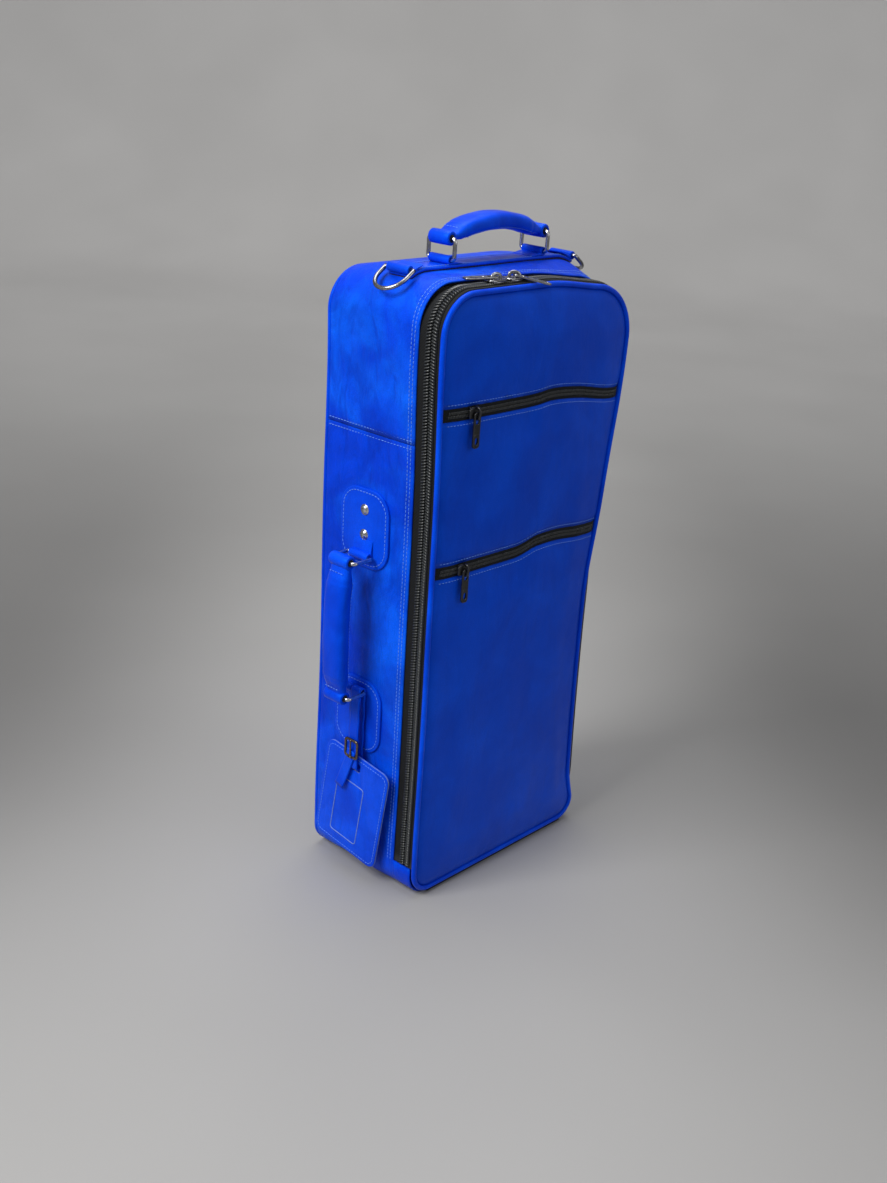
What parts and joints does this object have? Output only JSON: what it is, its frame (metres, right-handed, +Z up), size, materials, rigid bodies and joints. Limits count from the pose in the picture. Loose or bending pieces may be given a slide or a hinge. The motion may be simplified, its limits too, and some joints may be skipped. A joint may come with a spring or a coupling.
{
  "type": "soft instrument case",
  "caption": "Upright padded leather soft case with a front lid that unzips, pocket zips, a top and a side carrying handle, shoulder-strap rings and a hanging luggage tag.",
  "frame": {"origin": "centre of the flat base face", "axes": "+X to the right of the front, +Y towards the back, +Z up along the case's height"},
  "size_m": [0.2869, 0.1461, 0.6073],
  "materials": {
    "leather_body": "soft grained full leather, semi-matt",
    "leather_front": "smooth soft leather, semi-matt",
    "leather_base": "matt black",
    "webbing": "woven, matt",
    "zip_tape": "woven, matt",
    "zip_coil": "moulded, slight sheen",
    "slider_black": "semi-gloss enamel",
    "gunmetal": "dark plated, polished",
    "nickel": "plated, polished",
    "foam": "open-cell foam",
    "board": "fibreboard",
    "lining": "brushed velour"
  },
  "bodies": {
    "case": {"gusset_top": "leather_body", "gusset_left": "leather_body", "gusset_right": "leather_body", "zip_end_corners": "leather_body", "back_panel": "leather_body", "back_piping": "leather_body", "base_panel": "leather_base", "base_board": "board", "foam_back": "foam", "foam_left": "foam", "foam_right": "foam", "foam_top": "foam", "foam_base": "foam", "lining": "lining", "body_zip_tape": "zip_tape", "body_zip_coil": "zip_coil", "top_strap": "leather_body", "top_webbing": "webbing", "top_chapes": "leather_body", "dring_chapes": "leather_body", "handle_patch_upper": "leather_body", "handle_patch_lower": "leather_body", "side_chape_upper": "leather_body", "side_chape_lower": "leather_body", "patch_rivets": "nickel"},
    "lid": {"lid_panel_top": "leather_front", "lid_panel_middle": "leather_front", "lid_panel_bottom": "leather_front", "lid_piping": "leather_front", "lid_foam": "foam", "lid_lining": "lining", "lid_zip_tape": "zip_tape", "lid_zip_coil": "zip_coil", "pocket_zip_upper": "zip_coil", "pocket_zip_lower": "zip_coil", "pocket_bag_upper": "lining", "pocket_bag_lower": "lining"},
    "slider_left": {"slider_left": "gunmetal"},
    "pull_left": {"pull_left": "gunmetal"},
    "slider_right": {"slider_right": "gunmetal"},
    "pull_right": {"pull_right": "gunmetal"},
    "pocket_slider_upper": {"pocket_slider_upper": "slider_black"},
    "pocket_pull_upper": {"pocket_pull_upper": "slider_black"},
    "pocket_slider_lower": {"pocket_slider_lower": "slider_black"},
    "pocket_pull_lower": {"pocket_pull_lower": "slider_black"},
    "top_ring_left": {"top_ring_left": "nickel"},
    "top_ring_right": {"top_ring_right": "nickel"},
    "top_grip": {"top_grip": "leather_body", "top_grip_core": "foam"},
    "side_ring_upper": {"side_ring_upper": "nickel"},
    "side_ring_lower": {"side_ring_lower": "nickel"},
    "side_grip": {"side_grip": "leather_body", "side_grip_core": "foam"},
    "dring_left": {"dring_left": "nickel"},
    "dring_right": {"dring_right": "nickel"},
    "tag_strap": {"tag_strap": "leather_body", "tag_buckle": "gunmetal"},
    "tag_prong": {"tag_prong": "gunmetal"},
    "tag_card": {"tag_card": "leather_body"}
  },
  "joints": [
    {"name": "lid_open", "type": "hinge", "parent": "case", "child": "lid", "pos_m": [0, -0.066, 0.0055], "axis": [1, 0, 0], "range_deg": [0, 84]},
    {"name": "slider_left_travel", "type": "slide", "parent": "case", "child": "slider_left", "axis": [-1, 0, 0], "range_m": [0, 0.025]},
    {"name": "slider_right_travel", "type": "slide", "parent": "lid", "child": "slider_right", "axis": [1, 0, 0], "range_m": [0, 0.09]},
    {"name": "pull_left_flip", "type": "hinge", "parent": "slider_left", "child": "pull_left", "pos_m": [-0.054, -0.0545, 0.5659], "axis": [0.2079, 0.9781, 0], "range_deg": [0, 110]},
    {"name": "pull_right_flip", "type": "hinge", "parent": "slider_right", "child": "pull_right", "pos_m": [-0.031, -0.0545, 0.5659], "axis": [-0.6018, -0.7986, 0], "range_deg": [0, 110]},
    {"name": "pocket_slider_upper_travel", "type": "slide", "parent": "lid", "child": "pocket_slider_upper", "axis": [0.9997, -0.0253, 0], "range_m": [0, 0.06]},
    {"name": "pocket_pull_upper_flip", "type": "hinge", "parent": "pocket_slider_upper", "child": "pocket_pull_upper", "pos_m": [-0.088, -0.07474, 0.46], "axis": [-1, 0, 0], "range_deg": [0, 110]},
    {"name": "pocket_slider_lower_travel", "type": "slide", "parent": "lid", "child": "pocket_slider_lower", "axis": [0.9997, -0.0253, 0], "range_m": [0, 0.06]},
    {"name": "pocket_pull_lower_flip", "type": "hinge", "parent": "pocket_slider_lower", "child": "pocket_pull_lower", "pos_m": [-0.088, -0.07474, 0.322], "axis": [-1, 0, 0], "range_deg": [0, 110]},
    {"name": "top_handle_swing", "type": "hinge", "parent": "case", "child": "top_ring_left", "pos_m": [-0.063, 0, 0.5733], "axis": [0, 1, 0], "range_deg": [-55, 55]},
    {"name": "top_grip_pivot", "type": "hinge", "parent": "top_ring_left", "child": "top_grip", "pos_m": [-0.063, 0, 0.5908], "axis": [0, 1, 0], "range_deg": [-55, 55]},
    {"name": "top_ring_right_swing", "type": "hinge", "parent": "case", "child": "top_ring_right", "pos_m": [0.059, 0, 0.5733], "axis": [0, 1, 0], "range_deg": [-55, 55]},
    {"name": "side_handle_swing", "type": "hinge", "parent": "case", "child": "side_ring_upper", "pos_m": [-0.13032, 0.012, 0.32], "axis": [0, 1, 0], "range_deg": [-40, 45]},
    {"name": "side_grip_pivot", "type": "hinge", "parent": "side_ring_upper", "child": "side_grip", "pos_m": [-0.15182, 0.012, 0.32], "axis": [0, 1, 0], "range_deg": [-45, 40]},
    {"name": "side_ring_lower_swing", "type": "hinge", "parent": "case", "child": "side_ring_lower", "pos_m": [-0.13032, 0.012, 0.191], "axis": [0, 1, 0], "range_deg": [-40, 45]},
    {"name": "dring_left_swing", "type": "hinge", "parent": "case", "child": "dring_left", "pos_m": [-0.11186, 0, 0.56858], "axis": [0, 1, 0], "range_deg": [0, 150]},
    {"name": "dring_right_swing", "type": "hinge", "parent": "case", "child": "dring_right", "pos_m": [0.10066, 0, 0.56705], "axis": [0, -1, 0], "range_deg": [0, 150]},
    {"name": "tag_strap_swing", "type": "hinge", "parent": "case", "child": "tag_strap", "pos_m": [-0.13032, 0.006, 0.191], "axis": [0, 1, 0], "range_deg": [0, 50]},
    {"name": "tag_prong_lift", "type": "hinge", "parent": "tag_strap", "child": "tag_prong", "pos_m": [-0.13722, 0.006, 0.1255], "axis": [0, -1, 0], "range_deg": [0, 60]},
    {"name": "tag_card_sway", "type": "hinge", "parent": "tag_strap", "child": "tag_card", "pos_m": [-0.13032, 0.006, 0.115], "axis": [1, 0, 0], "range_deg": [-12, 5]}
  ],
  "couplings": [
    {"joint": "top_grip_pivot", "follows": "top_handle_swing", "ratio": -1},
    {"joint": "top_ring_right_swing", "follows": "top_handle_swing", "ratio": 1},
    {"joint": "side_grip_pivot", "follows": "side_handle_swing", "ratio": -1},
    {"joint": "side_ring_lower_swing", "follows": "side_handle_swing", "ratio": 1}
  ]
}
